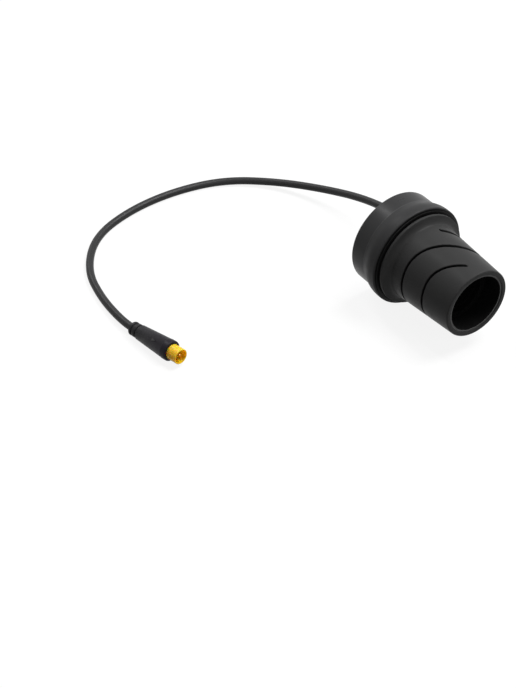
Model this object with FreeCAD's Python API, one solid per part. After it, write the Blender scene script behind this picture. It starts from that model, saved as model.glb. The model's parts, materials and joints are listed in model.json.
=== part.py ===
import FreeCAD, Part
import math
import os

# Half-length twist throttle for an electric bicycle, with its cable and plug.
# Millimetres. The origin is on the bore's axis at the inboard face, +X runs along
# the handlebar to the open outboard end, +Z is up and -Y is the rider's side.
# Angles are measured about +X, from +Y towards +Z.

# Handlebar bore and spigot
BAR_BORE_R = 11.2
SPIGOT_R = 13.5
SPIGOT_END = 52.4
LEAD_IN_R = 11.6
LEAD_IN_LENGTH = 2.8
SPIGOT_CHAMFER = 0.4

# Drum: rear moulding and front shell, parted at the step
REAR_R = 24.95
FRONT_R = 26.7
BACK_EDGE = 0.75
BACK_RIM_X = -0.6
BACK_RIM_R = 24.1
BACK_WALL = 2.2
PARTING_X = 8.7
STEP_END_X = 16.5
STEP_RISE = (2.6, 0.45)
STEP_EASE = 4.0
DRUM_END_X = 19.9
RIM_INNER_R = 22.3
TONGUE_R = 23.5
TONGUE_LENGTH = 1.3
SHELL_INNER_R = 23.6
FRONT_WALL_X = 17.2
NECK_HOLE_R = 17.0
EDGE_ROUND = 0.8
BEAD_R = 25.5
BEAD_WIDTH = 0.45
BEAD_GROOVE_R = 24.5
BEAD_GROOVE_WIDTH = 0.4

# Turning sleeve
BEARING_R = 13.55
FLANGE_R = 19.3
FLANGE_X = (13.9, 16.5)
NECK_R = 16.6
NECK_END_X = 20.0
TUBE_R = 15.5
MOUTH_R = 14.75
MOUTH_FLOOR_X = 52.0
MOUTH_END_X = 62.9

# Rubber cover
COVER_X = (20.6, 63.5)
FLARE_R = 24.3
FLARE_EDGE = 1.1
FLARE_TOP_X = 22.0
FLARE_END_X = 24.8
FLARE_PULLS = (0.6, 2.1)
FOOT_R = 20.3
RIM_R = 17.95
LIP_ROUND = 0.9
LIP_INNER_ROUND = 0.4

# Spiral groove: level turns joined by a rise over the top of the sleeve
GROOVE_WIDTH = 1.15
GROOVE_DEPTH = 1.3
GROOVE_LEVELS = (18.4, 32.0, 46.0, 62.6)
GROOVE_RISE = (158.0, 37.0)
GROOVE_START_ANGLE = 76.0
GROOVE_END_ANGLE = 92.6
GROOVE_POINTS = 9

# Turn stops
TWIST_RANGE = 70.0
LUG_ANGLE = 150.0
LUG_HALF = 7.0
RIB_HALF = 5.0
STOP_GAP = 1.0
STOP_R = (16.5, 19.0)
LUG_BACK_X = 10.6
RIB_END_X = 13.5

# Fasteners
COVER_SCREW_ANGLES = (55.0, 175.0, 295.0)
COVER_SCREW_PITCH_R = 21.8
COVER_SCREW_R = 1.1
COVER_SCREW_HEAD_R = 2.0
COVER_SCREW_HEAD = 1.4
COVER_SCREW_END_X = 14.6
SCREW_RECESS = 1.5
BASE_BOSS_R = 2.5
SHELL_BOSS_R = 2.1
CLAMP_ANGLE = 270.0
CLAMP_X = 4.2
CLAMP_SCREW_R = 1.95
CLAMP_SCREW_SPAN = (11.45, 19.4)
CLAMP_SOCKET_FLATS = 2.0
CLAMP_SOCKET_DEPTH = 2.2
INSERT_R = 2.45
INSERT_SPAN = (13.2, 18.2)
CLAMP_BOSS_HALF = 4.5
CLAMP_BOSS_END_X = 7.2
CLEARANCE = 0.05

# Sensor, magnets and spring
SENSOR_ANGLE = 21.0
SENSOR_R = 17.7
BOARD = (1.0, 3.0, 10.5)
BOARD_X = 10.5
SENSOR_BODY = (1.5, 3.0, 4.0)
SENSOR_LEG = 0.4
POST_R = 1.1
POST_OFFSET = 2.0
MAGNET = (1.8, 3.0, 6.0)
MAGNET_R = 17.0
MAGNET_ANGLES = {"magnet_north": 17.0, "magnet_south": -45.0}
WASHER_R = (17.3, 19.2)
WASHER_THICKNESS = 0.4
SPRING_R = 15.1
SPRING_WIRE_R = 0.42
SPRING_X = (7.8, 13.1)
SPRING_TURNS = 3.25
SPRING_SIDES = 8
SPRING_LEG_ENDS = (1.3, 15.2)
SPRING_START_ANGLE = 200.0
SPRING_HOLE_R = 0.8

# Cable, gland and plug
CABLE_R = 2.0
CABLE_START_X = 3.2
EXIT_ANGLE = -15.5
EXIT_R = 19.0
GLAND_NECK_R = 2.85
GLAND_FLANGE_R = 3.2
GLAND_TIP_R = 2.5
GLAND_TIP_X = -5.5
WIRE_R = 0.45
WIRE_SPACING = 1.0
WIRE_TURN_X = 7.0
PAD_OFFSET = -4.3
ARC_SHARE = 0.45
EXIT_Y = EXIT_R*math.cos(math.radians(EXIT_ANGLE))
EXIT_Z = EXIT_R*math.sin(math.radians(EXIT_ANGLE))
FLOOR_Z = -FRONT_R
LYING_Z = FLOOR_Z + CABLE_R
PLUG_REAR = (-38.21, -127.67, -23.16)
PLUG_HEADING = 10.4
PLUG_TILT = 3.8
LAST_RUN = 9.0
CABLE_ROUTE = (
    (CABLE_START_X, EXIT_Y, EXIT_Z),
    (-17.0, EXIT_Y, EXIT_Z),
    (-44.0, 18.2, -10.9),
    (-72.0, 12.7, -18.7),
    (-98.0, -0.9, -23.5),
    (-116.4, -21.9, LYING_Z),
    (-122.9, -49.7, LYING_Z),
    (-121.5, -78.5, LYING_Z),
    (-112.0, -104.7, LYING_Z),
    (-89.9, -122.3, LYING_Z),
    (-66.6, -127.2, LYING_Z),
)
PLUG_COLLAR_R = 3.45
PLUG_COLLAR_ROUND = 0.8
PLUG_GROOVE_DEPTH = 0.7
PLUG_GROOVES = (2.25, 5.15)
PLUG_GROOVE_WIDTH = 0.8
PLUG_R = (3.6, 5.1)
PLUG_BAND_R = 5.2
PLUG_BAND_X = 25.1
PLUG_BAND_ROUND = 0.7
PLUG_LENGTH = 28.3
NOSE_R = 3.9
NOSE_SEAT = 4.0
NOSE_SEAT_R = 3.4
NOSE_CHAMFER = 0.3
NOSE_LENGTH = 34.6
CUP_R = 3.35
CUP_DEPTH = 5.6
KEY = (0.7, 0.5)
PIN_R = 0.42
PIN_CIRCLE_R = 1.55
PIN_ENDS = (26.3, 32.3)

ORIGIN = FreeCAD.Vector(0, 0, 0)
X_AXIS = FreeCAD.Vector(1, 0, 0)


def vec(point):
    return FreeCAD.Vector(*point)


def polar(x, radius, angle):
    """A point at the given station, radius and angle about the bore."""
    turn = math.radians(angle)
    return FreeCAD.Vector(x, radius*math.cos(turn), radius*math.sin(turn))


def line(a, b):
    return Part.LineSegment(vec(a), vec(b)).toShape()


def section(start, steps):
    """A closed face in the X-radius half plane.

    A step is a corner (x, r), or a corner with the middle point of an arc, or a
    corner with the two handles of a smooth S curve.
    """
    edges = []
    here = (start[0], start[1], 0)
    for corner, *handles in steps:
        there = (corner[0], corner[1], 0)
        bends = [vec((x, r, 0)) for x, r in handles]
        if len(bends) == 1:
            edges.append(Part.Arc(vec(here), bends[0], vec(there)).toShape())
        elif len(bends) == 2:
            curve = Part.BezierCurve()
            curve.setPoles([vec(here), *bends, vec(there)])
            edges.append(curve.toShape())
        else:
            edges.append(line(here, there))
        here = there
    edges.append(line(here, (start[0], start[1], 0)))
    return Part.Face(Part.Wire(edges))


def turned(start, *steps):
    """A solid turned about the bore from its half section."""
    return section(start, steps).revolve(ORIGIN, X_AXIS, 360)


def corner_arc(corner, radius, x_side, r_side):
    """The middle point of the arc that rounds a corner.

    x_side and r_side say where the arc's centre lies from the corner.
    """
    x, r = corner
    centre = (x + x_side*radius, r + r_side*radius)
    bulge = radius*math.sqrt(0.5)
    return (centre[0] - x_side*bulge, centre[1] - r_side*bulge)


def ring(x0, x1, r0, r1):
    return turned((x0, r0), [(x0, r1)], [(x1, r1)], [(x1, r0)])


def sector(x0, x1, r0, r1, angle, half):
    """A block between two radii, centred on an angle."""
    face = section((x0, r0), [[(x0, r1)], [(x1, r1)], [(x1, r0)]])
    wedge = face.revolve(ORIGIN, X_AXIS, 2*half)
    wedge.rotate(ORIGIN, X_AXIS, angle - half)
    return wedge


def axial_rod(x0, x1, radius, pitch_r, angle):
    return Part.makeCylinder(radius, x1 - x0, polar(x0, pitch_r, angle), X_AXIS)


def radial_rod(r0, r1, radius, x, angle):
    return Part.makeCylinder(radius, r1 - r0, polar(x, r0, angle), polar(0, 1, angle))


def block(x0, size, radius, angle, offset=0.0):
    """A box of (axial, radial, tangential) size, centred on a radius at an angle."""
    depth, height, width = size
    box = Part.makeBox(depth, height, width, FreeCAD.Vector(x0, radius - height/2, offset - width/2))
    box.rotate(ORIGIN, X_AXIS, angle)
    return box


def tube(points, radius, label=None):
    """A round tube along straight runs joined by tangent arcs."""
    route = [vec(p) for p in points]
    runs = [b - a for a, b in zip(route, route[1:])]
    edges = []
    radii = []
    here = route[0]
    for before, corner, after in zip(runs, route[1:], runs[1:]):
        turn = before.getAngle(after)
        reach = ARC_SHARE*min(before.Length, after.Length)
        radii.append(reach/math.tan(turn/2))
        entry = corner - vec(before).normalize()*reach
        leave = corner + vec(after).normalize()*reach
        inward = (entry + leave)*0.5 - corner
        drop = radii[-1]/math.cos(turn/2) - radii[-1]
        middle = corner + inward.normalize()*drop
        edges.append(Part.LineSegment(here, entry).toShape())
        edges.append(Part.Arc(entry, middle, leave).toShape())
        here = leave
    edges.append(Part.LineSegment(here, route[-1]).toShape())
    path = Part.Wire(edges)
    circle = Part.Wire(Part.Circle(route[0], runs[0], radius).toShape())
    solid = path.makePipeShell([circle], True, False)
    if label:
        swept = math.pi*radius**2*path.Length
        print(label, "length", round(path.Length, 1), "radii", [round(r, 1) for r in radii],
              "volume share", round(solid.Volume/swept, 4))
    return solid


def cover_radius(x):
    """Outside radius of the tapered part of the rubber cover."""
    share = (x - FLARE_END_X)/(COVER_X[1] - LIP_ROUND - FLARE_END_X)
    return FOOT_R + (RIM_R - FOOT_R)*share


def groove_station(angle, rise):
    """Station of the spiral groove on one of its rises, for an angle in its span."""
    begin, end = GROOVE_RISE
    share = (begin - angle)/(begin - end)
    eased = share*share*(3 - 2*share)
    return GROOVE_LEVELS[rise] + (GROOVE_LEVELS[rise + 1] - GROOVE_LEVELS[rise])*eased


def groove_rise(rise, begin, end):
    """Cutter for a stretch of the groove that climbs along the sleeve."""
    rails = []
    for lift in (-GROOVE_DEPTH, 1.0):
        points = []
        for i in range(GROOVE_POINTS):
            angle = begin + (end - begin)*i/(GROOVE_POINTS - 1)
            x = groove_station(angle, rise)
            points.append(polar(x - GROOVE_WIDTH/2, cover_radius(x) + lift, angle))
        rail = Part.BSplineCurve()
        rail.interpolate(points)
        rails.append(rail.toShape())
    return Part.makeRuledSurface(*rails).extrude(X_AXIS*GROOVE_WIDTH)


def groove_level(level, begin, end):
    """Cutter for a stretch of the groove that runs straight round the sleeve."""
    x = GROOVE_LEVELS[level]
    radius = cover_radius(x)
    return sector(x - GROOVE_WIDTH/2, x + GROOVE_WIDTH/2, radius - GROOVE_DEPTH, radius + 1.0,
                  (begin + end)/2, (begin - end)/2)


def make_housing_base():
    back = corner_arc((BACK_RIM_X, REAR_R), BACK_EDGE, 1, -1)
    tongue_x = PARTING_X + TONGUE_LENGTH
    lead_in_x = SPIGOT_END - LEAD_IN_LENGTH
    base = turned((0, BAR_BORE_R), [(0, BACK_RIM_R)], [(BACK_RIM_X, BACK_RIM_R)],
                  [(BACK_RIM_X, REAR_R - BACK_EDGE)], [(BACK_RIM_X + BACK_EDGE, REAR_R), back],
                  [(PARTING_X, REAR_R)], [(PARTING_X, TONGUE_R)], [(tongue_x, TONGUE_R)],
                  [(tongue_x, RIM_INNER_R)], [(BACK_WALL, RIM_INNER_R)], [(BACK_WALL, SPIGOT_R)],
                  [(SPIGOT_END - SPIGOT_CHAMFER, SPIGOT_R)], [(SPIGOT_END, SPIGOT_R - SPIGOT_CHAMFER)],
                  [(SPIGOT_END, LEAD_IN_R)], [(lead_in_x, LEAD_IN_R)], [(lead_in_x, BAR_BORE_R)])
    boss_depth = CLAMP_BOSS_END_X - BACK_WALL/2
    boss_height = RIM_INNER_R + 0.5 - (SPIGOT_R - 0.5)
    boss_size = (boss_depth, boss_height, 2*CLAMP_BOSS_HALF)
    added = [block(BACK_WALL/2, boss_size, SPIGOT_R - 0.5 + boss_height/2, CLAMP_ANGLE)]
    for angle in COVER_SCREW_ANGLES:
        added.append(axial_rod(BACK_WALL/2, PARTING_X, BASE_BOSS_R, COVER_SCREW_PITCH_R, angle))
    lug_clear = LUG_HALF + STOP_GAP + RIB_HALF
    for angle in (LUG_ANGLE - lug_clear, LUG_ANGLE + TWIST_RANGE + lug_clear):
        added.append(sector(BACK_WALL/2, RIB_END_X, *STOP_R, angle, RIB_HALF))
    post_turn = math.degrees(math.atan2(POST_OFFSET, SENSOR_R))
    for angle in (SENSOR_ANGLE - post_turn, SENSOR_ANGLE + post_turn):
        added.append(axial_rod(BACK_WALL/2, BOARD_X, POST_R, math.hypot(SENSOR_R, POST_OFFSET), angle))
    base = base.fuse(added)
    holes = [axial_rod(-1, BACK_WALL + 1, GLAND_NECK_R + CLEARANCE, EXIT_R, EXIT_ANGLE),
             axial_rod(SPRING_LEG_ENDS[0] - 0.2, BACK_WALL + 1, SPRING_HOLE_R, SPRING_R, SPRING_START_ANGLE),
             radial_rod(BAR_BORE_R - 1, INSERT_SPAN[0], CLAMP_SCREW_R + CLEARANCE, CLAMP_X, CLAMP_ANGLE),
             radial_rod(INSERT_SPAN[0], REAR_R + 1, INSERT_R + CLEARANCE, CLAMP_X, CLAMP_ANGLE)]
    for angle in COVER_SCREW_ANGLES:
        holes.append(axial_rod(-1, SCREW_RECESS, COVER_SCREW_HEAD_R + 0.1, COVER_SCREW_PITCH_R, angle))
        holes.append(axial_rod(-1, PARTING_X + 1, COVER_SCREW_R + 0.1, COVER_SCREW_PITCH_R, angle))
        holes.append(axial_rod(PARTING_X, tongue_x + 1, SHELL_BOSS_R + 0.15, COVER_SCREW_PITCH_R, angle))
    return base.cut(holes).removeSplitter()


def make_housing_ring():
    bead_x = DRUM_END_X - BEAD_WIDTH
    edge_x = bead_x - BEAD_GROOVE_WIDTH
    edge = corner_arc((edge_x, FRONT_R), EDGE_ROUND, -1, -1)
    along, out = STEP_RISE
    handles = ((PARTING_X + along, REAR_R + out), (STEP_END_X - STEP_EASE, FRONT_R))
    shell = turned((PARTING_X, SHELL_INNER_R), [(PARTING_X, REAR_R)], [(STEP_END_X, FRONT_R), *handles],
                   [(edge_x - EDGE_ROUND, FRONT_R)], [(edge_x, FRONT_R - EDGE_ROUND), edge],
                   [(edge_x, BEAD_GROOVE_R)], [(bead_x, BEAD_GROOVE_R)], [(bead_x, BEAD_R)],
                   [(DRUM_END_X - 0.15, BEAD_R)], [(DRUM_END_X, BEAD_R - 0.15)],
                   [(DRUM_END_X, NECK_HOLE_R)], [(FRONT_WALL_X, NECK_HOLE_R)],
                   [(FRONT_WALL_X, SHELL_INNER_R)])
    bosses = [axial_rod(PARTING_X, FRONT_WALL_X + 0.5, SHELL_BOSS_R, COVER_SCREW_PITCH_R, angle)
              for angle in COVER_SCREW_ANGLES]
    pilots = [axial_rod(PARTING_X - 1, COVER_SCREW_END_X + 0.3, COVER_SCREW_R + CLEARANCE,
                        COVER_SCREW_PITCH_R, angle) for angle in COVER_SCREW_ANGLES]
    return shell.fuse(bosses).cut(pilots).removeSplitter()


def make_sleeve_core():
    core = turned((FLANGE_X[0], BEARING_R), [(FLANGE_X[0], FLANGE_R)], [(FLANGE_X[1], FLANGE_R)],
                  [(FLANGE_X[1], NECK_R)], [(NECK_END_X, NECK_R)], [(NECK_END_X, TUBE_R)],
                  [(MOUTH_END_X, TUBE_R)], [(MOUTH_END_X, MOUTH_R)], [(MOUTH_FLOOR_X, MOUTH_R)],
                  [(MOUTH_FLOOR_X, BEARING_R)])
    lug = sector(LUG_BACK_X, FLANGE_X[0] + 0.5, *STOP_R, LUG_ANGLE, LUG_HALF)
    depth, height, width = MAGNET
    pocket = (depth + 1 + CLEARANCE, height + 2*CLEARANCE, width + 2*CLEARANCE)
    cuts = [block(FLANGE_X[0] - 1, pocket, MAGNET_R, angle) for angle in MAGNET_ANGLES.values()]
    leg_angle = SPRING_START_ANGLE + 360*SPRING_TURNS
    cuts.append(axial_rod(FLANGE_X[0] - 1, SPRING_LEG_ENDS[1] + 0.3, SPRING_HOLE_R, SPRING_R, leg_angle))
    return core.fuse(lug).cut(cuts).removeSplitter()


def make_rubber_cover():
    back_x, end_x = COVER_X
    lip_x = end_x - LIP_ROUND
    edge = corner_arc((back_x, FLARE_R), FLARE_EDGE, 1, -1)
    slope = (RIM_R - FOOT_R)/(lip_x - FLARE_END_X)
    top_pull, foot_pull = FLARE_PULLS
    handles = ((FLARE_TOP_X + top_pull, FLARE_R), (FLARE_END_X - foot_pull, FOOT_R - slope*foot_pull))
    lip = corner_arc((end_x, RIM_R), LIP_ROUND, -1, -1)
    inner = corner_arc((end_x, TUBE_R), LIP_INNER_ROUND, -1, 1)
    cover = turned((back_x, TUBE_R), [(back_x, FLARE_R - FLARE_EDGE)],
                   [(back_x + FLARE_EDGE, FLARE_R), edge],
                   [(FLARE_TOP_X, FLARE_R)], [(FLARE_END_X, FOOT_R), *handles], [(lip_x, RIM_R)],
                   [(end_x, RIM_R - LIP_ROUND), lip], [(end_x, TUBE_R + LIP_INNER_ROUND)],
                   [(end_x - LIP_INNER_ROUND, TUBE_R), inner])
    begin, end = GROOVE_RISE
    cuts = [groove_rise(0, GROOVE_START_ANGLE, end),
            groove_level(1, end, begin - 360),
            groove_rise(1, begin, end),
            groove_level(2, end, begin - 360),
            groove_rise(2, begin, GROOVE_END_ANGLE)]
    for cutter in cuts:
        cover = cover.cut(cutter)
    return cover


def make_cover_screws():
    screws = []
    head_x = SCREW_RECESS - COVER_SCREW_HEAD
    for angle in COVER_SCREW_ANGLES:
        head = axial_rod(head_x, SCREW_RECESS, COVER_SCREW_HEAD_R, COVER_SCREW_PITCH_R, angle)
        shank = axial_rod(SCREW_RECESS, COVER_SCREW_END_X, COVER_SCREW_R, COVER_SCREW_PITCH_R, angle)
        screws.append(head.fuse(shank).removeSplitter())
    return Part.makeCompound(screws)


def make_clamp_screw():
    tip, top = CLAMP_SCREW_SPAN
    cone = 1.0
    screw = radial_rod(tip + cone, top, CLAMP_SCREW_R, CLAMP_X, CLAMP_ANGLE)
    point = Part.makeCone(CLAMP_SCREW_R - 0.7, CLAMP_SCREW_R, cone, polar(CLAMP_X, tip, CLAMP_ANGLE),
                          polar(0, 1, CLAMP_ANGLE))
    hexagon = [polar(0, CLAMP_SOCKET_FLATS/math.sqrt(3), 60*i) for i in range(7)]
    socket = Part.Face(Part.makePolygon(hexagon)).extrude(X_AXIS*(CLAMP_SOCKET_DEPTH + 1))
    floor = polar(CLAMP_X, top - CLAMP_SOCKET_DEPTH, CLAMP_ANGLE)
    socket.Placement = FreeCAD.Placement(floor, FreeCAD.Rotation(X_AXIS, polar(0, 1, CLAMP_ANGLE)))
    return screw.fuse(point).cut(socket).removeSplitter()


def make_clamp_insert():
    low, high = INSERT_SPAN
    outer = radial_rod(low, high, INSERT_R, CLAMP_X, CLAMP_ANGLE)
    return outer.cut(radial_rod(low - 1, high + 1, CLAMP_SCREW_R + CLEARANCE, CLAMP_X, CLAMP_ANGLE))


def make_magnetic_sensor():
    sensor_x = BOARD_X + BOARD[0]
    depth, height, width = SENSOR_BODY
    sensor = block(sensor_x, SENSOR_BODY, SENSOR_R, SENSOR_ANGLE)
    leg_width = 1.6
    leg_size = (SENSOR_LEG, SENSOR_LEG, leg_width)
    for step in (-1, 0, 1):
        radius = SENSOR_R + step*height/3
        sensor = sensor.fuse(block(sensor_x, leg_size, radius, SENSOR_ANGLE, -width/2 - leg_width/2))
    return sensor.removeSplitter()


def make_return_spring():
    """One wire: a leg in the back wall, the coil round the spigot and a leg in the flange."""
    begin, end = SPRING_X
    count = round(SPRING_TURNS*SPRING_SIDES)
    corner_r = SPRING_R/math.cos(math.pi/SPRING_SIDES)
    last = SPRING_START_ANGLE + 360*SPRING_TURNS
    route = [polar(SPRING_LEG_ENDS[0], SPRING_R, SPRING_START_ANGLE),
             polar(begin, SPRING_R, SPRING_START_ANGLE)]
    for i in range(1, count):
        x = begin + (end - begin)*i/count
        route.append(polar(x, corner_r, SPRING_START_ANGLE + 360*i/SPRING_SIDES))
    route += [polar(end, SPRING_R, last), polar(SPRING_LEG_ENDS[1], SPRING_R, last)]
    return tube(route, SPRING_WIRE_R)


def make_cable_gland():
    gland = turned((CABLE_START_X, CABLE_R), [(CABLE_START_X, GLAND_FLANGE_R)], [(BACK_WALL, GLAND_FLANGE_R)],
                   [(BACK_WALL, GLAND_NECK_R)], [(0, GLAND_NECK_R)], [(0, GLAND_FLANGE_R)],
                   [(-1.0, GLAND_FLANGE_R)], [(-1.4, GLAND_NECK_R)], [(GLAND_TIP_X + 0.3, GLAND_TIP_R)],
                   [(GLAND_TIP_X, GLAND_TIP_R - 0.3)], [(GLAND_TIP_X, CABLE_R)])
    gland.translate(polar(0, EXIT_R, EXIT_ANGLE))
    return gland


def make_wires():
    """Three cores from the cable's end to the pads on the board's back."""
    pad_turn = math.degrees(math.atan2(PAD_OFFSET, SENSOR_R))
    wires = {}
    for name, step in (("ground_wire", -1), ("signal_wire", 0), ("supply_wire", 1)):
        begin = (EXIT_R + step*WIRE_SPACING, EXIT_ANGLE)
        pad = (math.hypot(SENSOR_R, PAD_OFFSET) + step*WIRE_SPACING, SENSOR_ANGLE + pad_turn)
        route = [polar(CABLE_START_X, *begin), polar(WIRE_TURN_X, *begin),
                 polar(WIRE_TURN_X, *pad), polar(BOARD_X, *pad)]
        wires[name] = tube(route, WIRE_R)
    return wires


def plug_direction():
    heading, tilt = math.radians(PLUG_HEADING), math.radians(PLUG_TILT)
    return FreeCAD.Vector(math.cos(tilt)*math.cos(heading), math.cos(tilt)*math.sin(heading), math.sin(tilt))


def on_plug(shape):
    """Carries a shape drawn along +X from the origin to the plug's place."""
    shape.Placement = FreeCAD.Placement(vec(PLUG_REAR), FreeCAD.Rotation(X_AXIS, plug_direction()))
    return shape


def make_plug_body():
    """Overmoulded jacket: a ringed collar, a taper and a rounded front band."""
    collar = corner_arc((0, PLUG_COLLAR_R), PLUG_COLLAR_ROUND, 1, -1)
    band = corner_arc((PLUG_LENGTH, PLUG_BAND_R), PLUG_BAND_ROUND, -1, -1)
    steps = [[(0, PLUG_COLLAR_R - PLUG_COLLAR_ROUND)], [(PLUG_COLLAR_ROUND, PLUG_COLLAR_R), collar]]
    for x in PLUG_GROOVES:
        steps += [[(x, PLUG_COLLAR_R)], [(x, PLUG_COLLAR_R - PLUG_GROOVE_DEPTH)],
                  [(x + PLUG_GROOVE_WIDTH, PLUG_COLLAR_R - PLUG_GROOVE_DEPTH)],
                  [(x + PLUG_GROOVE_WIDTH, PLUG_COLLAR_R)]]
    foot = PLUG_GROOVES[-1] + PLUG_GROOVE_WIDTH
    seat_x = PLUG_LENGTH - NOSE_SEAT
    seat_r = NOSE_SEAT_R + CLEARANCE
    steps += [[(foot, PLUG_R[0])], [(PLUG_BAND_X, PLUG_R[1])], [(PLUG_BAND_X, PLUG_BAND_R)],
              [(PLUG_LENGTH - PLUG_BAND_ROUND, PLUG_BAND_R)],
              [(PLUG_LENGTH, PLUG_BAND_R - PLUG_BAND_ROUND), band],
              [(PLUG_LENGTH, seat_r)], [(seat_x, seat_r)], [(seat_x, 0)]]
    return on_plug(turned((0, 0), *steps))


def pin_places():
    return [polar(PIN_ENDS[0], PIN_CIRCLE_R, 90 + 120*i) for i in range(3)]


def make_plug_nose():
    seat_x = PLUG_LENGTH - NOSE_SEAT
    cup_x = NOSE_LENGTH - CUP_DEPTH
    nose = turned((seat_x, 0), [(seat_x, NOSE_SEAT_R)], [(PLUG_LENGTH, NOSE_SEAT_R)], [(PLUG_LENGTH, NOSE_R)],
                  [(NOSE_LENGTH - NOSE_CHAMFER, NOSE_R)], [(NOSE_LENGTH, NOSE_R - NOSE_CHAMFER)],
                  [(NOSE_LENGTH, CUP_R + 0.2)], [(NOSE_LENGTH - 0.2, CUP_R)], [(cup_x, CUP_R)], [(cup_x, 0)])
    width, height = KEY
    key = Part.makeBox(CUP_DEPTH - 0.8, width, height + 0.3,
                       FreeCAD.Vector(cup_x - 0.3, -width/2, -CUP_R - 0.3))
    length = PIN_ENDS[1] - PIN_ENDS[0]
    holes = [Part.makeCylinder(PIN_R + CLEARANCE, length, place, X_AXIS) for place in pin_places()]
    return on_plug(nose.fuse(key).cut(holes).removeSplitter())


def make_contact_pins():
    pins = {}
    for number, place in enumerate(pin_places(), 1):
        dome = PIN_R/2
        length = PIN_ENDS[1] - PIN_ENDS[0] - dome
        shank = Part.makeCylinder(PIN_R, length, place, X_AXIS)
        tip = Part.makeCone(PIN_R, PIN_R/2, dome, place + X_AXIS*length, X_AXIS)
        pins[f"contact_pin_{number}"] = on_plug(shank.fuse(tip).removeSplitter())
    return pins


def make_cable():
    rear = vec(PLUG_REAR)
    before_plug = rear - plug_direction()*LAST_RUN
    return tube([*CABLE_ROUTE, before_plug, rear], CABLE_R, "cable")


def make_parts():
    parts = {
        "housing_base": make_housing_base(),
        "housing_ring": make_housing_ring(),
        "cover_screws": make_cover_screws(),
        "clamp_screw": make_clamp_screw(),
        "clamp_insert": make_clamp_insert(),
        "sensor_board": block(BOARD_X, BOARD, SENSOR_R, SENSOR_ANGLE),
        "magnetic_sensor": make_magnetic_sensor(),
        "return_spring": make_return_spring(),
        "wear_washer": ring(FRONT_WALL_X - WASHER_THICKNESS, FRONT_WALL_X, *WASHER_R),
        "cable_gland": make_cable_gland(),
        "cable": make_cable(),
        "plug_body": make_plug_body(),
        "plug_nose": make_plug_nose(),
        "sleeve_core": make_sleeve_core(),
        "rubber_cover": make_rubber_cover(),
    }
    parts.update(make_wires())
    parts.update(make_contact_pins())
    for name, angle in MAGNET_ANGLES.items():
        parts[name] = block(FLANGE_X[0], MAGNET, MAGNET_R, angle)
    return parts


os.makedirs("parts", exist_ok=True)
PARTS = make_parts()
for node, shape in PARTS.items():
    state = "valid" if shape.isValid() else "INVALID"
    print(node, state, len(shape.Solids), "solids", round(shape.Volume, 1), "mm3")
    shape.exportStep(f"parts/{node}.step")
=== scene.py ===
import json
import math

import bmesh
import bpy
from mathutils import Matrix, Vector


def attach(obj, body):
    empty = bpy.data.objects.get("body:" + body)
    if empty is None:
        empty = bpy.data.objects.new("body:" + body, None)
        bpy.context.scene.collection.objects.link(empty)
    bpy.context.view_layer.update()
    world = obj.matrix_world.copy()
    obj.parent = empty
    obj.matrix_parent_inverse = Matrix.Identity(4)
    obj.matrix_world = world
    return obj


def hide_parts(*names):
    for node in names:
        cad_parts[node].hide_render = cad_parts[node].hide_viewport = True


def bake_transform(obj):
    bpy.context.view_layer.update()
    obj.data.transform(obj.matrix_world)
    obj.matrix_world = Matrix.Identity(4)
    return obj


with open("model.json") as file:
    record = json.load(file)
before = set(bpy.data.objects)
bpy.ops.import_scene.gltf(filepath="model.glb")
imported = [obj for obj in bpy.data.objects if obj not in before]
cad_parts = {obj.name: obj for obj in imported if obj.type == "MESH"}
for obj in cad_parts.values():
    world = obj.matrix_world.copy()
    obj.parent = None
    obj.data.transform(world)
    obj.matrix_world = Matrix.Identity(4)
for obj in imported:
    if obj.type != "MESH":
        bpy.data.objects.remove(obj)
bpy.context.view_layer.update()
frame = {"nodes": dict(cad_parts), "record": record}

# Half-length twist throttle with its cable and plug. Sizes are in millimetres and
# are turned into metres where a mesh is made. The frame is the model's own: +X along
# the bore to the open end, +Z up, -Y the rider's side, angles about +X from +Y.

MM = 0.001

# Camera, for a picture of 516 x 688
IMAGE_WIDTH = 516
FOCAL_PIXELS = 1733.3
SENSOR_WIDTH = 36.0
CAMERA_AZIMUTH = 55.2
CAMERA_ELEVATION = 40.6
CAMERA_PLACE = (520.34, -442.12, 513.23)

# Floor under the drum
FLOOR_Z = -26.7
FLOOR_SIDE = 3000.0
FLOOR_SHADE = 0.35
FLOOR_WHITE = 0.95
FLOOR_GLOW = 0.88

# Light of the white surround on the object, and the lamps: name, place and size in
# metres, power in watts
SURROUND_LIGHT = 0.1
LAMPS = (
    ("overhead_lamp", (0.1, 0.42, 0.9), (0.7, 0.7), 14.7),
    ("strip_lamp", (-0.69, -0.1, 0.855), (0.9, 0.05), 4.5),
    ("front_lamp", (0.77, -0.13, 0.62), (0.3, 0.3), 1.2),
)

# Where finishes change along the bore: the line between the drum's two mouldings, painted lighter
# as a painted highlight on the seam; painted shade in the gap in front of the drum and on the
# spigot inside the bore; and the end of the sleeve's core, painted lighter as a painted highlight
# on its edge
PARTING_X = 8.7
PARTING_HIGHLIGHT_HALF = 0.3
GAP_AND_BORE_SHADE_X = (18.8, 19.1)
CORE_END_HIGHLIGHT_X = (62.7, 62.9)

# Cable route: the solid's control points, with the last few moved a little
CABLE_R = 2.0
EXIT_Y = 18.309
EXIT_Z = -5.078
LYING_Z = -24.7
CABLE_ROUTE = (
    (3.2, EXIT_Y, EXIT_Z),
    (-17.0, EXIT_Y, EXIT_Z),
    (-44.0, 18.2, -10.9),
    (-72.0, 12.7, -18.7),
    (-98.0, -0.9, -23.5),
    (-116.4, -21.9, LYING_Z),
    (-122.9, -49.7, LYING_Z),
    (-121.5, -78.5, LYING_Z),
    (-112.0, -104.7, LYING_Z),
    (-90.3, -122.0, LYING_Z),
    (-66.7, -127.5, LYING_Z),
    (-44.1, -128.75, -23.56),
    (-38.21, -127.67, -23.16),
)

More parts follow.
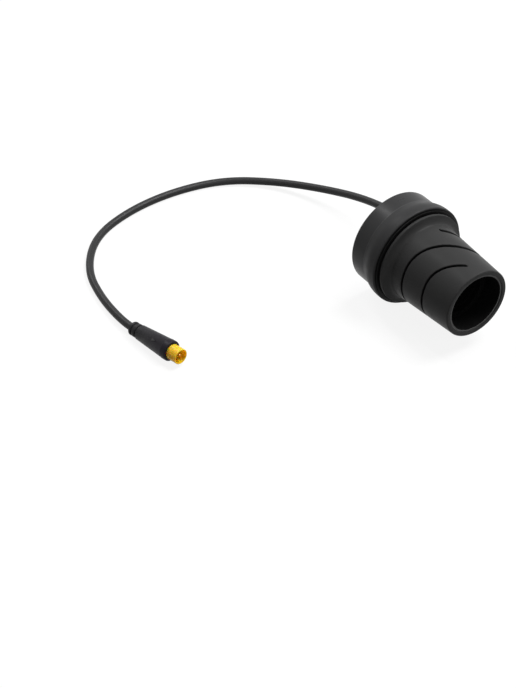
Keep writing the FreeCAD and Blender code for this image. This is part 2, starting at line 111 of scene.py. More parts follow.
# Plug, along its own axis from the cable's end
PLUG_REAR = (-38.21, -127.67, -23.16)
PLUG_HEADING = 10.4
PLUG_TILT = 3.8
PLUG_COLLAR_X = 0.6
PLUG_COLLAR_R = 3.55
PLUG_COLLAR_ROUND = 0.8
PLUG_RING_ROUND = 0.4
PLUG_GROOVE_R = 2.95
PLUG_GROOVES = (2.25, 5.15)
PLUG_GROOVE_WIDTH = 0.8
PLUG_FOOT_R = 3.85
PLUG_FRONT_R = 5.1
PLUG_BAND_R = 5.2
PLUG_BAND_X = 25.1
PLUG_BAND_ROUND = 0.7
PLUG_LENGTH = 28.3
PLUG_SEAT_R = 3.45
PLUG_SEAT_X = 24.3
PLUG_FINE_ROUND = 0.1
PLUG_BAND_STEP_ROUND = 0.05
PLUG_SIDES = 96
MARK_X = (17.6, 20.0)
MARK_HALF = 0.75
MARK_RISE = 0.14
MARK_SINK = 0.3
MARK_ANGLE = 128.0

# Rubber cover and its spiral groove
TUBE_R = 15.5
COVER_X = (20.45, 63.5)
FLARE_R = 24.3
FLARE_EDGE = 0.4
FLARE_TOP_X = 22.0
FLARE_END_X = 24.8
FLARE_PULLS = (0.25, 2.2)
FOOT_R = 20.3
RIM_R = 17.95
LIP_ROUND = 0.7
LIP_INNER_ROUND = 0.4
GROOVE_HALF = 0.52
GROOVE_SOFT = 0.12
GROOVE_DEPTH = 1.3
GROOVE_TURNS = ((18.7, 33.2), (32.0, 48.0), (46.0, 68.8))
GROOVE_RISE = (158.0, 37.0)
GROOVE_BEND = 1.25
GROOVE_EASE = (25.0, -85.0)
GROOVE_WIDER = 0.8
GROOVE_WIDER_ANGLES = (125.0, 72.0)
GROOVE_PLAIN_ANGLES = (-20.0, 30.0)
GROOVE_START_ANGLE = 76.0
GROOVE_END_ANGLE = 94.0
GROOVE_END_SOFT = 0.5
GROOVE_SEAM = -97.0
GROOVE_LEAST_R = 16.9
COVER_ROW = 0.16
COVER_SIDES = 288

# Cover screws in the back face
SCREW_ANGLES = (55.0, 175.0, 295.0)
SCREW_PITCH_R = 21.8
SCREW_HEAD_X = 0.1
SCREW_HEAD_R = 2.0
SCREW_HEAD_HEIGHT = 1.4
SCREW_R = 1.1
SCREW_END_X = 14.6
SCREW_SLOT = (0.55, 2.3, 0.9)
SCREW_HEAD_SIDES = 40
SCREW_SHANK_SIDES = 24

# Return spring round the spigot, one leg in the housing and one in the sleeve
SPRING_R = 15.1
SPRING_WIRE_R = 0.42
SPRING_X = (7.8, 13.1)
SPRING_TURNS = 3.25
SPRING_STEPS = 156
SPRING_LEG_ENDS = (1.3, 15.2)
SPRING_BEND = 2.0
SPRING_START_ANGLE = 200.0

# Finish: noise scales in features a metre
NOISE_SPAN = (0.3, 0.7)
MOTTLE_SCALE = 60.0
GLOSS_SCALE = 180.0
GLOSS_SPREAD = 0.05
GRAIN_STRENGTH = 0.35
METAL_SPECULAR = 0.5
METAL_GLOSS_SCALE = 900.0
METAL_GLOSS_SPREAD = 0.06


def make_camera():
    """The camera that was fitted to the photograph."""
    turn, lift = math.radians(CAMERA_AZIMUTH), math.radians(CAMERA_ELEVATION)
    back = Vector((math.sin(turn)*math.cos(lift), -math.cos(turn)*math.cos(lift), math.sin(lift)))
    right = Vector((math.cos(turn), math.sin(turn), 0))
    axes = Matrix((right, back.cross(right), back)).transposed().to_4x4()
    data = bpy.data.cameras.new("photo_camera")
    data.sensor_fit = "HORIZONTAL"
    data.sensor_width = SENSOR_WIDTH
    data.lens = FOCAL_PIXELS*SENSOR_WIDTH/IMAGE_WIDTH
    data.clip_start = 0.01
    camera = bpy.data.objects.new("photo_camera", data)
    camera.matrix_world = Matrix.Translation(Vector(CAMERA_PLACE)*MM) @ axes
    bpy.context.scene.collection.objects.link(camera)
    bpy.context.scene.camera = camera


def new_material(name, colour, roughness, specular):
    """A material with its shader's plain values set, and its node tree."""
    material = bpy.data.materials.new(name)
    material.use_nodes = True
    material.diffuse_color = (*colour, 1)
    shader = material.node_tree.nodes["Principled BSDF"]
    shader.inputs["Base Color"].default_value = (*colour, 1)
    shader.inputs["Roughness"].default_value = roughness
    shader.inputs["Specular IOR Level"].default_value = specular
    return material, material.node_tree, shader


def add_noise(tree, scale, detail=2.0, roughness=0.5):
    """Noise on the piece's own coordinates, with its scale in features a metre."""
    place = tree.nodes.new("ShaderNodeTexCoord")
    texture = tree.nodes.new("ShaderNodeTexNoise")
    texture.inputs["Scale"].default_value = scale
    texture.inputs["Detail"].default_value = detail
    texture.inputs["Roughness"].default_value = roughness
    tree.links.new(place.outputs["Object"], texture.inputs["Vector"])
    return texture.outputs["Fac"]


def vary_roughness(tree, shader, scale, middle, spread):
    """Patches that are a little glossier or duller than the rest."""
    span = tree.nodes.new("ShaderNodeMapRange")
    span.inputs["From Min"].default_value, span.inputs["From Max"].default_value = NOISE_SPAN
    span.inputs["To Min"].default_value = middle - spread
    span.inputs["To Max"].default_value = middle + spread
    tree.links.new(add_noise(tree, scale), span.inputs["Value"])
    tree.links.new(span.outputs["Result"], shader.inputs["Roughness"])


def vary_colour(tree, shader, colour, amount, scale):
    """Slow, slight variation of a colour."""
    mix = tree.nodes.new("ShaderNodeMix")
    mix.data_type = "RGBA"
    mix.inputs["A"].default_value = (*[c*(1 - amount) for c in colour], 1)
    mix.inputs["B"].default_value = (*[c*(1 + amount) for c in colour], 1)
    tree.links.new(add_noise(tree, scale), mix.inputs["Factor"])
    tree.links.new(mix.outputs["Result"], shader.inputs["Base Color"])


def tint(material, share, colour):
    """Mixes a second colour into a material by a share from 0 to 1."""
    tree = material.node_tree
    shader = tree.nodes["Principled BSDF"]
    plain = shader.inputs["Base Color"].links[0].from_socket
    mix = tree.nodes.new("ShaderNodeMix")
    mix.data_type = "RGBA"
    mix.inputs["B"].default_value = (*colour, 1)
    tree.links.new(share, mix.inputs["Factor"])
    tree.links.new(plain, mix.inputs["A"])
    tree.links.new(mix.outputs["Result"], shader.inputs["Base Color"])


def tint_marked(material, attribute, colour):
    """A second colour where the mesh's own attribute is set."""
    marked = material.node_tree.nodes.new("ShaderNodeAttribute")
    marked.attribute_name = attribute
    tint(material, marked.outputs["Fac"], colour)


def share_along(tree, begin, end):
    """A share that grows from 0 to 1 along the bore, between two stations in millimetres."""
    place = tree.nodes.new("ShaderNodeTexCoord")
    split = tree.nodes.new("ShaderNodeSeparateXYZ")
    tree.links.new(place.outputs["Object"], split.inputs["Vector"])
    share = tree.nodes.new("ShaderNodeMapRange")
    share.inputs["From Min"].default_value = begin*MM
    share.inputs["From Max"].default_value = end*MM
    tree.links.new(split.outputs["X"], share.inputs["Value"])
    return share.outputs["Result"]


def tint_end(material, colour, begin, end):
    """A second colour towards the outboard end, between two stations in millimetres."""
    tint(material, share_along(material.node_tree, begin, end), colour)


def tint_line(material, colour, station, half):
    """A thin line of a second colour round the bore, at a station in millimetres."""
    tree = material.node_tree
    line = tree.nodes.new("ShaderNodeMath")
    line.operation = "SUBTRACT"
    tree.links.new(share_along(tree, station - half, station), line.inputs[0])
    tree.links.new(share_along(tree, station, station + half), line.inputs[1])
    tint(material, line.outputs["Value"], colour)


def let_light_in(material, weight, depths):
    """Translucency: depths in millimetres for red, green and blue."""
    shader = material.node_tree.nodes["Principled BSDF"]
    shader.inputs["Subsurface Weight"].default_value = weight
    shader.inputs["Subsurface Radius"].default_value = depths
    shader.inputs["Subsurface Scale"].default_value = MM


def add_grain(tree, shader, scale, depth):
    """Fine moulded grain as a bump."""
    bump = tree.nodes.new("ShaderNodeBump")
    bump.inputs["Strength"].default_value = GRAIN_STRENGTH
    bump.inputs["Distance"].default_value = depth*MM
    tree.links.new(add_noise(tree, scale, 3.0, 0.6), bump.inputs["Height"])
    tree.links.new(bump.outputs["Normal"], shader.inputs["Normal"])


def moulded(name, colour, roughness, grain_scale, grain_depth, specular=0.2, variation=0.1):
    """A moulded plastic or rubber: fine grain, uneven gloss and slight mottle."""
    material, tree, shader = new_material(name, colour, roughness, specular)
    vary_colour(tree, shader, colour, variation, MOTTLE_SCALE)
    vary_roughness(tree, shader, GLOSS_SCALE, roughness, GLOSS_SPREAD)
    add_grain(tree, shader, grain_scale, grain_depth)
    return material


def metal(name, colour, roughness):
    """A bare or plated metal with slightly uneven gloss."""
    material, tree, shader = new_material(name, colour, roughness, METAL_SPECULAR)
    shader.inputs["Metallic"].default_value = 1.0
    vary_roughness(tree, shader, METAL_GLOSS_SCALE, roughness, METAL_GLOSS_SPREAD)
    return material


# One material for each slot, and one for the drum's duller front moulding
MATERIALS = {
    "housing_plastic": moulded("satin_black_housing", (0.0275, 0.0275, 0.0281), 0.32, 3800.0, 0.02, 0.1),
    "front_shell": moulded("satin_black_front_shell", (0.0305, 0.0305, 0.0311), 0.43, 3800.0, 0.02, 0.06),
    # Black, and painted darker still than the housing as painted shade inside the bore
    "core_plastic": moulded("black_sleeve_core_painted_bore_shade", (0.006, 0.006, 0.006), 0.42, 3800.0, 0.03, 0.05),
    "grip_rubber": moulded("matte_grip_rubber", (0.029, 0.029, 0.029), 0.4, 3000.0, 0.03, 0.055),
    "gland_rubber": moulded("gland_rubber", (0.014, 0.014, 0.014), 0.7, 3000.0, 0.05, 0.13),
    "cable_jacket": moulded("cable_jacket", (0.02, 0.02, 0.0207), 0.4, 2600.0, 0.04, 0.16),
    "plug_jacket": moulded("plug_jacket", (0.0155, 0.0155, 0.0165), 0.45, 3400.0, 0.04, 0.12),
    "nose_plastic": moulded("yellow_nose_plastic", (0.93, 0.475, 0.02), 0.4, 2600.0, 0.02, 0.2, 0.04),
    "screw_steel": metal("black_oxide_steel", (0.09, 0.09, 0.095), 0.36),
    "spring_steel": metal("drawn_spring_steel", (0.56, 0.56, 0.57), 0.28),
    "contact_brass": metal("plated_contact_brass", (0.83, 0.64, 0.28), 0.24),
    "magnet_alloy": metal("nickel_plated_magnet", (0.62, 0.61, 0.6), 0.22),
    "board_laminate": moulded("green_board_laminate", (0.02, 0.14, 0.06), 0.35, 2200.0, 0.02, 0.4),
    "sensor_epoxy": moulded("sensor_epoxy", (0.02, 0.02, 0.02), 0.55, 3800.0, 0.03),
    "washer_nylon": moulded("natural_washer_nylon", (0.78, 0.76, 0.7), 0.5, 2200.0, 0.02, 0.4, 0.04),
    "red_insulation": moulded("red_insulation", (0.5, 0.02, 0.02), 0.45, 2600.0, 0.02, 0.4),
    "black_insulation": moulded("black_insulation", (0.02, 0.02, 0.02), 0.45, 2600.0, 0.02, 0.4),
    "green_insulation": moulded("green_insulation", (0.03, 0.3, 0.06), 0.45, 2600.0, 0.02, 0.4),
}
# Painted shade: the grip rubber is painted near black in the spiral groove
tint_marked(MATERIALS["grip_rubber"], "groove", (0.002, 0.002, 0.002))
tint_marked(MATERIALS["plug_jacket"], "band", (0.009, 0.007, 0.011))
tint_marked(MATERIALS["plug_jacket"], "raised", (0.045, 0.045, 0.046))
# Painted highlight: the end of the sleeve's core is painted lighter, as a highlight on its edge
tint_end(MATERIALS["core_plastic"], (0.11, 0.11, 0.11), *CORE_END_HIGHLIGHT_X)
# Painted shade: both drum mouldings are painted near black in the gap in front of the drum and on the
# spigot inside the bore
for moulding in ("housing_plastic", "front_shell"):
    tint_end(MATERIALS[moulding], (0.005, 0.005, 0.005), *GAP_AND_BORE_SHADE_X)
    # Painted highlight: a thin lighter line along the parting seam
    tint_line(MATERIALS[moulding], (0.055, 0.055, 0.056), PARTING_X, PARTING_HIGHLIGHT_HALF)
let_light_in(MATERIALS["nose_plastic"], 0.8, (4.0, 2.0, 0.3))
OWN_FINISH = {"housing_ring": "front_shell"}


def dress_nodes():
    """Gives every solid of the frame the material of its slot, or its own finish."""
    slots = {row["node"]: row["material_slot"] for row in frame["record"]["subparts"]}
    for name, node in frame["nodes"].items():
        node.data.materials.clear()
        node.data.materials.append(MATERIALS[OWN_FINISH.get(name, slots[name])])


def add_piece(name, data, body, slot, *nodes):
    """A finished mesh or curve as a piece on a body, or on none yet, that stands for some solids."""
    piece = bpy.data.objects.new(name, data)
    bpy.context.scene.collection.objects.link(piece)
    data.materials.clear()
    data.materials.append(MATERIALS[slot])
    if body:
        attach(piece, body)
    if nodes:
        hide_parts(*nodes)
    return piece


def rounded(corners, steps=6):
    """Outline points from corners (x, r, rounding), with an arc at each rounded corner."""
    points = []
    count = len(corners)
    for i, (x, r, rounding) in enumerate(corners):
        here = Vector((x, r))
        if not rounding:
            points.append(here)
            continue
        before = (Vector(corners[i - 1][:2]) - here).normalized()
        after = (Vector(corners[(i + 1) % count][:2]) - here).normalized()
        half = before.angle(after)/2
        reach = rounding/math.tan(half)
        centre = here + (before + after).normalized()*rounding/math.sin(half)
        begin = (here + before*reach - centre).normalized()
        end = (here + after*reach - centre).normalized()
        points += [centre + begin.slerp(end, k/steps)*rounding for k in range(steps + 1)]
    return points


def bezier(start, first, second, end, steps=28):
    """Points on a cubic curve from its two ends and two handles."""
    handles = [Vector(place) for place in (start, first, second, end)]
    points = []
    for k in range(steps + 1):
        t = k/steps
        shares = ((1 - t)**3, 3*t*(1 - t)**2, 3*t*t*(1 - t), t**3)
        points.append(sum((h*s for h, s in zip(handles, shares)), Vector((0, 0))))
    return points


def turned_mesh(name, outline, sides):
    """A closed mesh turned about +X from a closed outline of (x, r) points."""
    mesh = bmesh.new()
    rings = []
    for k in range(sides):
        turn = 2*math.pi*k/sides
        across, up = MM*math.cos(turn), MM*math.sin(turn)
        rings.append([mesh.verts.new((x*MM, r*across, r*up)) for x, r in outline])
    count = len(outline)
    for ring, following in zip(rings, rings[1:] + rings[:1]):
        for i in range(count):
            j = (i + 1) % count
            mesh.faces.new((ring[i], ring[j], following[j], following[i]))
    bmesh.ops.remove_doubles(mesh, verts=mesh.verts, dist=1e-7)
    bmesh.ops.recalc_face_normals(mesh, faces=mesh.faces)
    for face in mesh.faces:
        face.smooth = True
    data = bpy.data.meshes.new(name)
    mesh.to_mesh(data)
    mesh.free()
    return data


def shaped(mesh, tree, values):
    """Runs a node tree on a mesh and returns the result as a plain mesh."""
    carrier = bpy.data.objects.new(mesh.name, mesh)
    bpy.context.scene.collection.objects.link(carrier)
    modifier = carrier.modifiers.new("shape", "NODES")
    modifier.node_group = tree
    for item in tree.interface.items_tree:
        if item.item_type == "SOCKET" and item.in_out == "INPUT" and item.name in values:
            modifier[item.identifier] = values[item.name]
    view = bpy.context.evaluated_depsgraph_get()
    result = bpy.data.meshes.new_from_object(carrier.evaluated_get(view))
    result.name = mesh.name
    carrier.modifiers.remove(modifier)
    bpy.data.objects.remove(carrier)
    return result


class Tree:
    """A geometry node tree that is written as a chain of calls."""

    def __init__(self, name, sizes):
        self.group = bpy.data.node_groups.new(name, "GeometryNodeTree")
        face = self.group.interface
        face.new_socket("Mesh", in_out="INPUT", socket_type="NodeSocketGeometry")
        for size in sizes:
            face.new_socket(size, in_out="INPUT", socket_type="NodeSocketFloat")
        face.new_socket("Mesh", in_out="OUTPUT", socket_type="NodeSocketGeometry")
        self.entry = self.group.nodes.new("NodeGroupInput")
        self.end = self.group.nodes.new("NodeGroupOutput")

    def size(self, name):
        return self.entry.outputs[name]

    def node(self, kind, inputs=(), **settings):
        made = self.group.nodes.new(kind)
        for name, value in settings.items():
            setattr(made, name, value)
        for key, value in dict(inputs).items():
            if isinstance(value, bpy.types.NodeSocket):
                self.group.links.new(value, made.inputs[key])
            else:
                made.inputs[key].default_value = value
        return made

    def math(self, operation, *values):
        return self.node("ShaderNodeMath", dict(enumerate(values)), operation=operation).outputs[0]

    def spread(self, value, begin, end, low, high, kind="SMOOTHSTEP"):
        inputs = {"Value": value, "From Min": begin, "From Max": end, "To Min": low, "To Max": high}
        return self.node("ShaderNodeMapRange", inputs, interpolation_type=kind).outputs["Result"]

    def finish(self, geometry, material):
        real = self.node("GeometryNodeRealizeInstances", {"Geometry": geometry})
        inputs = {"Geometry": real.outputs[0], "Material": material}
        painted = self.node("GeometryNodeSetMaterial", inputs)
        self.group.links.new(painted.outputs[0], self.end.inputs["Mesh"])
        return self.group


def groove_tree():
    """Presses the spiral groove into the cover: level turns joined by smooth rises, and stores the
    painted shade of the groove.
    """
    tree = Tree("spiral_groove", ("Half Width", "Soft Edge", "Depth"))
    place = tree.node("GeometryNodeInputPosition").outputs[0]
    split = tree.node("ShaderNodeSeparateXYZ", {0: place})
    x, y, z = split.outputs
    squares = [tree.math("MULTIPLY", side, side) for side in (y, z)]
    radius = tree.math("SQRT", tree.math("ADD", *squares))
    turn = tree.math("DEGREES", tree.math("ARCTAN2", z, y))
    angle = tree.math("WRAP", turn, GROOVE_SEAM + 360, GROOVE_SEAM)
    half, soft = tree.size("Half Width"), tree.size("Soft Edge")
    wide, narrow = tree.math("ADD", half, soft), tree.math("SUBTRACT", half, soft)
    widest = tree.math("ADD", wide, soft)
    ends = {0: (GROOVE_START_ANGLE, 1), 2: (GROOVE_END_ANGLE, -1)}
    wider = tree.math("MULTIPLY", tree.spread(angle, *GROOVE_WIDER_ANGLES, 0.0, GROOVE_WIDER),
                      tree.spread(angle, *GROOVE_PLAIN_ANGLES, 0.0, 1.0))
    width = tree.math("ADD", wider, 1.0)
    way = tree.math("POWER", tree.spread(angle, *GROOVE_RISE, 0.0, 1.0, "LINEAR"), GROOVE_BEND)
    for turn_number, (low, high) in enumerate(GROOVE_TURNS):
        station = tree.spread(way, 0.0, 1.0, low*MM, high*MM)
        if turn_number + 1 < len(GROOVE_TURNS):
            meet = GROOVE_TURNS[turn_number + 1][0] - high
            station = tree.math("ADD", station, tree.spread(angle, *GROOVE_EASE, 0.0, meet*MM))
        off = tree.math("DIVIDE", tree.math("ABSOLUTE", tree.math("SUBTRACT", x, station)), width)
        press = tree.spread(off, wide, narrow, 0.0, 1.0)
        # dark is the share of painted shade, a little wider than the pressed groove
        dark = tree.spread(off, widest, half, 0.0, 1.0)
        if turn_number in ends:
            stop, side = ends[turn_number]
            fade = side*GROOVE_END_SOFT
            inside = tree.spread(angle, stop + fade, stop - fade, 0.0, 1.0)
            press, dark = (tree.math("MULTIPLY", share, inside) for share in (press, dark))
        pressed = tree.math("MAXIMUM", pressed, press) if turn_number else press
        groove_painted_shade = tree.math("MAXIMUM", groove_painted_shade, dark) if turn_number else dark
    outside = tree.math("GREATER_THAN", radius, GROOVE_LEAST_R*MM)
    depth = tree.math("MULTIPLY", tree.math("MULTIPLY", pressed, outside), tree.size("Depth"))
    inward = tree.math("DIVIDE", tree.math("MULTIPLY", depth, -1.0), radius)
    offset = tree.node("ShaderNodeCombineXYZ", {1: tree.math("MULTIPLY", y, inward),
                                                2: tree.math("MULTIPLY", z, inward)})
    # Stores the painted shade of the groove as the attribute groove, where the rubber's colour is
    # darkened
    noted = tree.node("GeometryNodeStoreNamedAttribute", {
        "Geometry": tree.entry.outputs["Mesh"], "Name": "groove",
        "Value": tree.math("MULTIPLY", groove_painted_shade, outside)})
    crisp = tree.node("GeometryNodeSetShadeSmooth", {
        "Geometry": noted.outputs[0], "Shade Smooth": False,
        "Selection": tree.math("GREATER_THAN", depth, 0.0)})
    moved = tree.node("GeometryNodeSetPosition", {
        "Geometry": crisp.outputs[0], "Offset": offset.outputs[0]})
    return tree.finish(moved.outputs[0], MATERIALS["grip_rubber"])


def make_grip_cover():
    """Moulded rubber grip: collar, fillet, taper with the spiral groove and a rounded lip."""
    back_x, end_x = COVER_X
    lip_x = end_x - LIP_ROUND
    slope = (RIM_R - FOOT_R)/(lip_x - FLARE_END_X)
    top_pull, foot_pull = FLARE_PULLS
    flare = bezier((FLARE_TOP_X, FLARE_R), (FLARE_TOP_X + top_pull, FLARE_R),
                   (FLARE_END_X - foot_pull, FOOT_R - slope*foot_pull), (FLARE_END_X, FOOT_R))
    rows = round((lip_x - FLARE_END_X)/COVER_ROW)
    foot, rim = Vector((FLARE_END_X, FOOT_R)), Vector((lip_x, RIM_R))
    taper = [foot.lerp(rim, k/rows) for k in range(1, rows)]
    corners = [(back_x, TUBE_R, 0.0), (back_x, FLARE_R, FLARE_EDGE)]
    corners += [(*point, 0.0) for point in flare + taper]
    corners += [(end_x, RIM_R, LIP_ROUND), (end_x, TUBE_R, LIP_INNER_ROUND)]
    plain = turned_mesh("grip_cover", rounded(corners), COVER_SIDES)
    sizes = {"Half Width": GROOVE_HALF*MM, "Soft Edge": GROOVE_SOFT*MM, "Depth": GROOVE_DEPTH*MM}
    mesh = shaped(plain, groove_tree(), sizes)
    add_piece("grip_cover", mesh, "twist_sleeve", "grip_rubber", "rubber_cover")


def screw_tree():
    """Cross-recess screws, one at each of the points on the back face."""
    tree = Tree("cover_screws", ("Head Radius", "Head Height", "Shank Radius", "Shank Length"))
    head_height, shank_length = tree.size("Head Height"), tree.size("Shank Length")
    head = tree.node("GeometryNodeMeshCylinder", {
        "Vertices": SCREW_HEAD_SIDES, "Radius": tree.size("Head Radius"), "Depth": head_height})
    wide, long, deep = (s*MM for s in SCREW_SLOT)
    lift = tree.node("ShaderNodeCombineXYZ", {2: tree.math("MULTIPLY", head_height, -0.5)})
    cut = head.outputs["Mesh"]
    for size in ((wide, long, 2*deep), (long, wide, 2*deep)):
        bar = tree.node("GeometryNodeMeshCube", {"Size": size})
        placed = tree.node("GeometryNodeTransform", {
            "Geometry": bar.outputs["Mesh"], "Translation": lift.outputs[0]})
        slot = tree.node("GeometryNodeMeshBoolean", {"Mesh 1": cut, "Mesh 2": placed.outputs[0]},
                         operation="DIFFERENCE")
        cut = slot.outputs["Mesh"]
    shank = tree.node("GeometryNodeMeshCylinder", {
        "Vertices": SCREW_SHANK_SIDES, "Radius": tree.size("Shank Radius"), "Depth": shank_length})
    reach = tree.math("MULTIPLY", tree.math("ADD", shank_length, head_height), 0.5)
    down = tree.node("ShaderNodeCombineXYZ", {2: reach})
    body = tree.node("GeometryNodeTransform", {
        "Geometry": shank.outputs["Mesh"], "Translation": down.outputs[0]})
    screw = tree.node("GeometryNodeJoinGeometry")
    for half in (cut, body.outputs[0]):
        tree.group.links.new(half, screw.inputs[0])
    spots = tree.node("GeometryNodeInstanceOnPoints", {
        "Points": tree.entry.outputs["Mesh"], "Instance": screw.outputs[0],
        "Rotation": (0.0, math.pi/2, 0.0)})
    return tree.finish(spots.outputs[0], MATERIALS["screw_steel"])


def round_bore(x, radius, angle):
    """A place in millimetres from its station, its radius and its angle in degrees."""
    turn = math.radians(angle)
    return x, radius*math.cos(turn), radius*math.sin(turn)


def make_cover_screws():
    """The three screws that hold the drum's two mouldings together."""
    spots = bpy.data.meshes.new("cover_screws_turned")
    x = SCREW_HEAD_X + SCREW_HEAD_HEIGHT/2
    places = [Vector(round_bore(x, SCREW_PITCH_R, angle))*MM for angle in SCREW_ANGLES]
    spots.from_pydata(places, [], [])
    length = SCREW_END_X - SCREW_HEAD_X - SCREW_HEAD_HEIGHT
    sizes = {"Head Radius": SCREW_HEAD_R*MM, "Head Height": SCREW_HEAD_HEIGHT*MM,
             "Shank Radius": SCREW_R*MM, "Shank Length": length*MM}
    mesh = shaped(spots, screw_tree(), sizes)
    add_piece("cross_recess_screws", mesh, "housing", "screw_steel", "cover_screws")


def round_tube(name, places, radius, round_steps, long_steps):
    """A round tube on a smooth curve, from control points in millimetres."""
    curve = bpy.data.curves.new(name, "CURVE")
    curve.dimensions = "3D"
    curve.bevel_depth = radius*MM
    curve.bevel_resolution = round_steps
    curve.resolution_u = long_steps
    curve.use_fill_caps = True
    spline = curve.splines.new("NURBS")
    spline.points.add(len(places) - 1)
    for point, place in zip(spline.points, places):
        point.co = (*(Vector(place)*MM), 1)
    spline.order_u = 3
    spline.use_endpoint_u = True
    return curve


def make_return_spring():
    """Torsion spring that winds up between the housing and the sleeve."""
    begin, end = SPRING_X
    low, high = SPRING_LEG_ENDS
    turns = [SPRING_START_ANGLE + 360*SPRING_TURNS*k/SPRING_STEPS for k in range(SPRING_STEPS + 1)]
    stations = [(begin + (end - begin)*k/SPRING_STEPS, turn) for k, turn in enumerate(turns)]
    stations = [(low, turns[0]), (begin - SPRING_BEND, turns[0])] + stations + [(high, turns[-1])]
    places = [round_bore(x, SPRING_R, angle) for x, angle in stations]
    wire = round_tube("wound_spring", places, SPRING_WIRE_R, 3, 3)
    carrier = bpy.data.objects.new("wound_spring", wire)
    bpy.context.scene.collection.objects.link(carrier)
    view = bpy.context.evaluated_depsgraph_get()
    mesh = bpy.data.meshes.new_from_object(carrier.evaluated_get(view))
    bpy.data.objects.remove(carrier)
    bpy.data.curves.remove(wire)
    mesh.name = "wound_spring"
    piece = add_piece("wound_spring", mesh, None, "spring_steel", "return_spring")
    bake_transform(piece)


def plug_axes():
    """Carries a mesh drawn along +X from the origin to the plug's place."""
    heading, tilt = math.radians(PLUG_HEADING), math.radians(PLUG_TILT)
    level = math.cos(tilt)
    ahead = Vector((level*math.cos(heading), level*math.sin(heading), math.sin(tilt)))
    aside = Vector((-math.sin(heading), math.cos(heading), 0))
    turn = Matrix((ahead, aside, ahead.cross(aside))).transposed().to_4x4()
    return Matrix.Translation(Vector(PLUG_REAR)*MM) @ turn


def mark_points(mesh, name, rule):
    """Sets an attribute of the mesh at the points that a rule picks."""
    layer = mesh.attributes.new(name, "FLOAT", "POINT")
    for vertex, value in zip(mesh.vertices, layer.data):
        value.value = float(rule(vertex.co))


def make_plug_jacket():
    """Overmoulded jacket with rounded rings on its collar and a rounded front band."""
    corners = [(PLUG_COLLAR_X, 0.0, 0.0), (PLUG_COLLAR_X, PLUG_COLLAR_R, PLUG_COLLAR_ROUND)]
    for x, next_r in zip(PLUG_GROOVES, (PLUG_COLLAR_R, PLUG_FOOT_R)):
        far_x = x + PLUG_GROOVE_WIDTH
        corners += [(x, PLUG_COLLAR_R, PLUG_RING_ROUND), (x, PLUG_GROOVE_R, PLUG_FINE_ROUND),
                    (far_x, PLUG_GROOVE_R, PLUG_FINE_ROUND), (far_x, next_r, PLUG_RING_ROUND)]
    corners += [(PLUG_BAND_X, PLUG_FRONT_R, 0.0), (PLUG_BAND_X, PLUG_BAND_R, PLUG_BAND_STEP_ROUND),
                (PLUG_LENGTH, PLUG_BAND_R, PLUG_BAND_ROUND), (PLUG_LENGTH, PLUG_SEAT_R, PLUG_FINE_ROUND),
                (PLUG_SEAT_X, PLUG_SEAT_R, 0.0), (PLUG_SEAT_X, 0.0, 0.0)]
    mesh = turned_mesh("plug_jacket", rounded(corners), PLUG_SIDES)
    mark_points(mesh, "band", lambda place: place.x > (PLUG_BAND_X - PLUG_FINE_ROUND)*MM)
    mesh.transform(plug_axes())
    return add_piece("plug_jacket", mesh, "housing", "plug_jacket", "plug_body")


def taper_radius(x):
    """The jacket's radius at a station on its tapered part."""
    foot = PLUG_GROOVES[-1] + PLUG_GROOVE_WIDTH
    return PLUG_FOOT_R + (PLUG_FRONT_R - PLUG_FOOT_R)*(x - foot)/(PLUG_BAND_X - foot)


def make_plug_mark():
    """Small raised arrow on the jacket, pointing to the nose."""
    begin, tip = MARK_X
    shape = [(begin, -MARK_HALF), (begin, MARK_HALF), (tip, 0.0)]
    turn = math.radians(MARK_ANGLE)
    out = Vector((0, math.cos(turn), math.sin(turn)))
    aside = Vector((0, -math.sin(turn), math.cos(turn)))
    mesh = bmesh.new()
    layers = []
    for rise in (-MARK_SINK, MARK_RISE):
        layer = []
        for x, side in shape:
            lift = math.sqrt(taper_radius(x)**2 - side**2) + rise
            layer.append(mesh.verts.new((Vector((x, 0, 0)) + out*lift + aside*side)*MM))
        layers.append(layer)
    low, high = layers
    mesh.faces.new(high)
    mesh.faces.new(low[::-1])
    for i in range(3):
        j = (i + 1) % 3
        mesh.faces.new((low[i], low[j], high[j], high[i]))
    bmesh.ops.recalc_face_normals(mesh, faces=mesh.faces)
    data = bpy.data.meshes.new("plug_mark")
    mesh.to_mesh(data)
    mesh.free()
    mark_points(data, "raised", lambda place: True)
    data.transform(plug_axes())
    return add_piece("plug_mark", data, "housing", "plug_jacket")


def make_cable():
    """The cable as one smooth tube from inside the drum to the plug's rear."""
    curve = round_tube("throttle_cable", CABLE_ROUTE, CABLE_R, 8, 24)
    cable = add_piece("throttle_cable", curve, "housing", "cable_jacket", "cable")


def seen_rays(tree):
    """One for rays that show the surround: camera, glossy and transmitted ones."""
    path = tree.nodes.new("ShaderNodeLightPath")
    total = path.outputs["Is Camera Ray"]
    for kind in ("Is Glossy Ray", "Is Transmission Ray"):
        larger = tree.nodes.new("ShaderNodeMath")
        larger.operation = "MAXIMUM"
        tree.links.new(total, larger.inputs[0])
        tree.links.new(path.outputs[kind], larger.inputs[1])
        total = larger.outputs[0]
    return total


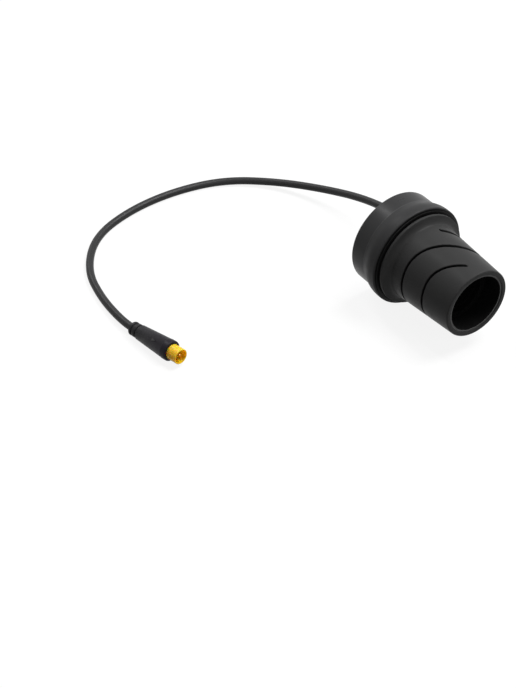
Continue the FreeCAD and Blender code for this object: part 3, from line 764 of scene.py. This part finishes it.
def make_floor():
    """A pale floor that looks white and keeps the object's shadow."""
    side, z = FLOOR_SIDE/2*MM, FLOOR_Z*MM
    mesh = bpy.data.meshes.new("floor")
    corners = [(-side, -side, z), (side, -side, z), (side, side, z), (-side, side, z)]
    mesh.from_pydata(corners, [], [(0, 1, 2, 3)])
    material, tree, shader = new_material("pale_floor", (FLOOR_SHADE,)*3, 0.9, 0.0)
    white = tree.nodes.new("ShaderNodeBsdfDiffuse")
    white.inputs["Color"].default_value = (*(FLOOR_WHITE,)*3, 1)
    glow = tree.nodes.new("ShaderNodeEmission")
    shown = tree.nodes.new("ShaderNodeMixShader")
    shown.inputs["Fac"].default_value = FLOOR_GLOW
    tree.links.new(white.outputs["BSDF"], shown.inputs[1])
    tree.links.new(glow.outputs["Emission"], shown.inputs[2])
    mix = tree.nodes.new("ShaderNodeMixShader")
    tree.links.new(seen_rays(tree), mix.inputs["Fac"])
    tree.links.new(shader.outputs["BSDF"], mix.inputs[1])
    tree.links.new(shown.outputs["Shader"], mix.inputs[2])
    tree.links.new(mix.outputs["Shader"], tree.nodes["Material Output"].inputs["Surface"])
    mesh.materials.append(material)
    floor = bpy.data.objects.new("floor", mesh)
    bpy.context.scene.collection.objects.link(floor)


def make_world():
    """A white surround, dimmer as a light than as a background."""
    world = bpy.data.worlds.new("white_studio")
    world.use_nodes = True
    bpy.context.scene.world = world
    tree = world.node_tree
    background = tree.nodes["Background"]
    background.inputs["Color"].default_value = (1, 1, 1, 1)
    level = tree.nodes.new("ShaderNodeMapRange")
    level.inputs["To Min"].default_value = SURROUND_LIGHT
    level.inputs["To Max"].default_value = 1.0
    tree.links.new(seen_rays(tree), level.inputs["Value"])
    tree.links.new(level.outputs["Result"], background.inputs["Strength"])


def make_lamp(name, place, size, power):
    """A soft oval lamp over the throttle, its long side along the bore."""
    data = bpy.data.lights.new(name, "AREA")
    data.shape = "ELLIPSE"
    data.size, data.size_y = size
    data.energy = power
    lamp = bpy.data.objects.new(name, data)
    back = Vector(place).normalized()
    side = Vector((0, 1, 0)).cross(back).normalized()
    turn = Matrix((side, back.cross(side), back)).transposed().to_4x4()
    lamp.matrix_world = Matrix.Translation(place) @ turn
    bpy.context.scene.collection.objects.link(lamp)


make_camera()
dress_nodes()
jacket = make_plug_jacket()
mark = make_plug_mark()
make_cable()
make_grip_cover()
make_cover_screws()
make_return_spring()
make_floor()
make_world()
for lamp in LAMPS:
    make_lamp(*lamp)
bpy.context.scene.view_settings.view_transform = "Standard"
bpy.context.view_layer.update()
